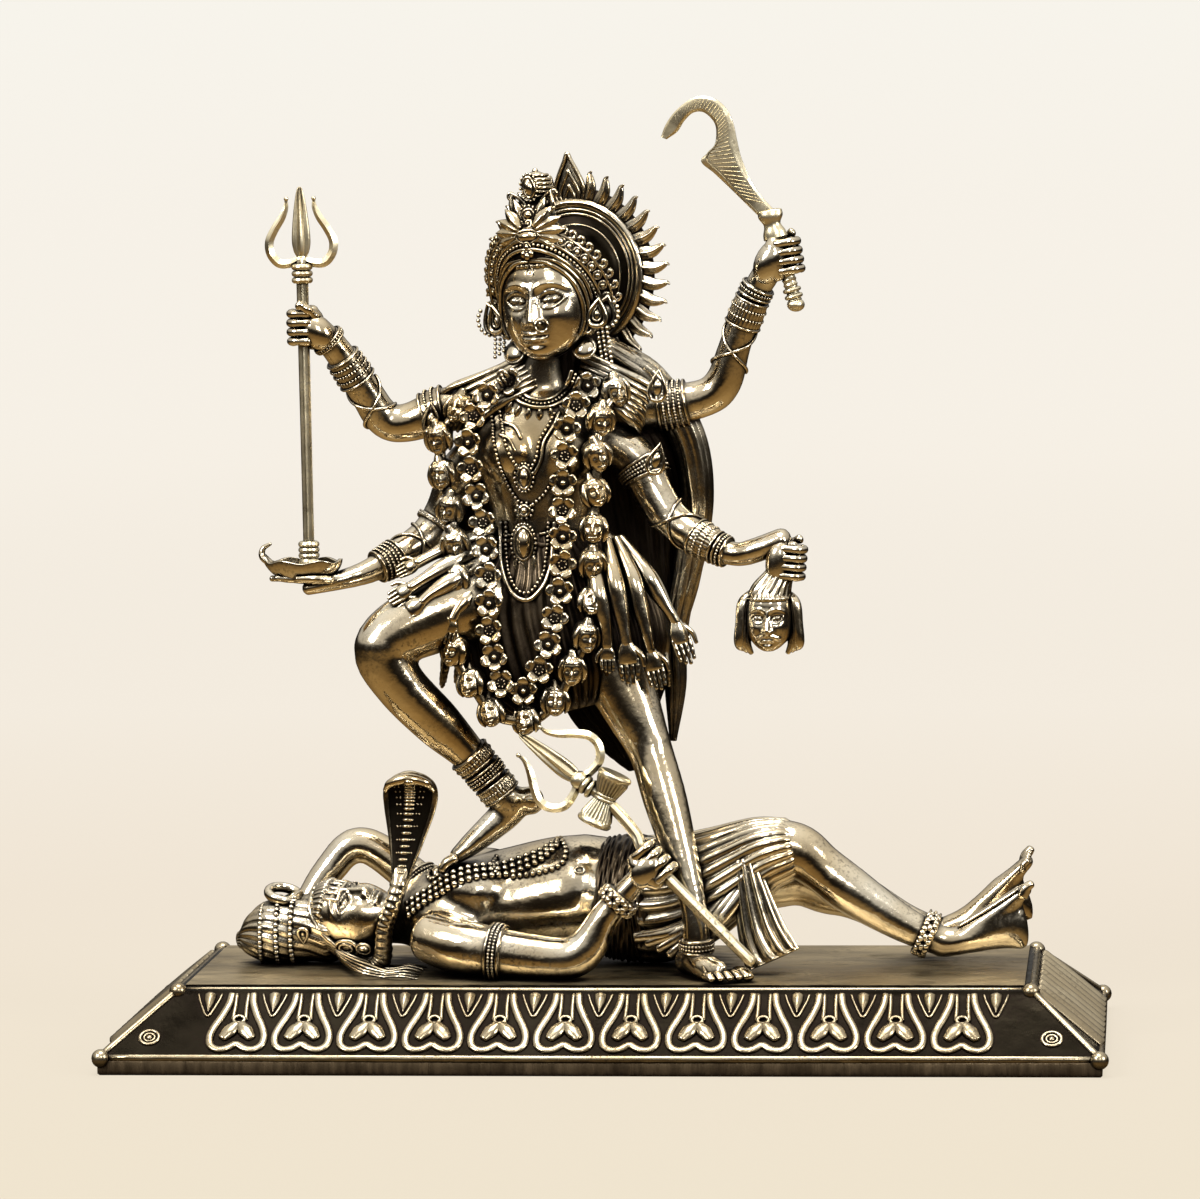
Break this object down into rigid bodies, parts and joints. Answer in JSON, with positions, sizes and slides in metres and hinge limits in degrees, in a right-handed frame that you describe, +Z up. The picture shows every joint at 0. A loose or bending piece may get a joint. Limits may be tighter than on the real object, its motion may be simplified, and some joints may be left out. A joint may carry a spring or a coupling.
{
  "type": "goddess statue",
  "caption": "Cast brass four-armed goddess with trident, sickle, bowl and severed head, one foot on a lying figure, on a rectangular lotus plinth.",
  "frame": {"origin": "middle of the plinth's underside, on the surface that it stands on", "axes": "+Z up, +X along the plinth towards the lying figure's feet, -Y the front that the goddess faces"},
  "size_m": [0.2111, 0.0882, 0.2019],
  "materials": {
    "cast_brass": "polished cast brass with dark patina left in the recesses",
    "pale_brass": "bright polished pale brass"
  },
  "bodies": {
    "root": {"lotus_plinth": "cast_brass", "lying_figure": "cast_brass", "standing_goddess": "cast_brass", "flame_halo": "cast_brass", "standing_trident": "pale_brass", "sickle_sword": "pale_brass", "trident_with_drum": "pale_brass"}
  },
  "joints": []
}
